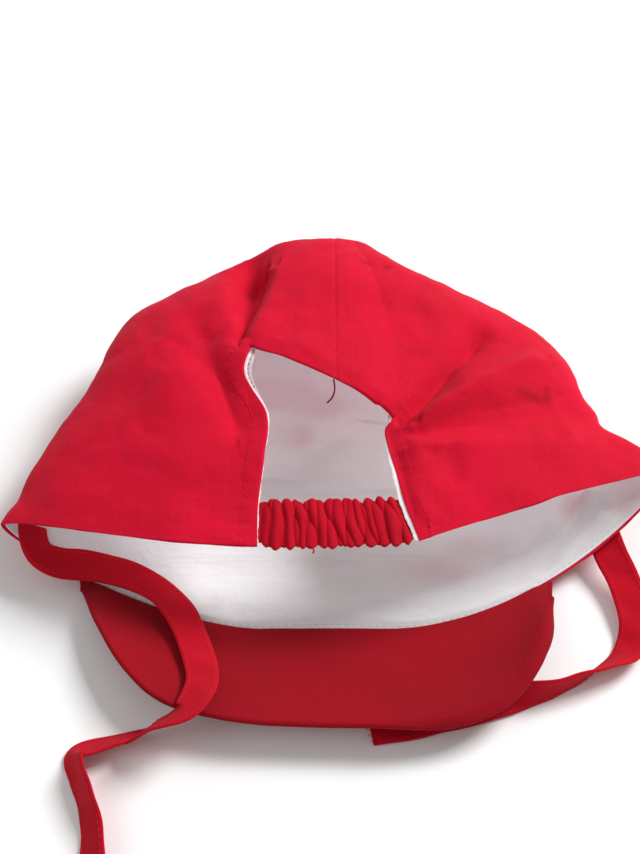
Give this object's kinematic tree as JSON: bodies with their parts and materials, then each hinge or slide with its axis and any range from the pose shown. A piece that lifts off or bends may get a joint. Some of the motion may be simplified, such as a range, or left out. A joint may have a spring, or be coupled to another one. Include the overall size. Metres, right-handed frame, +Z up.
{
  "type": "jockey cap",
  "caption": "Soft lined cloth cap laid on its front, with a stiffened curved peak, a rear opening above a gathered elastic band, and chin ties.",
  "frame": {"origin": "on the flattened front of the crown, which lies on the ground, 70 mm behind the middle of the front rim", "axes": "+Z up, +Y from the mouth and the peak towards the top of the crown, +X to the right of somebody who looks into the mouth"},
  "size_m": [0.261, 0.3166, 0.0566],
  "materials": {
    "crown_cloth": "plain-woven cotton, matt",
    "lining_cloth": "plain-woven lining cotton, matt",
    "band_cloth": "gathered plain-woven cotton",
    "peak_cloth": "plain-woven cotton over a stiff core",
    "tie_cloth": "folded and stitched cotton strip"
  },
  "bodies": {
    "root": {"crown_left": "crown_cloth", "crown_right": "crown_cloth", "lining": "lining_cloth", "back_band": "band_cloth", "peak": "peak_cloth", "tie_left": "tie_cloth", "tie_right": "tie_cloth"}
  },
  "joints": []
}
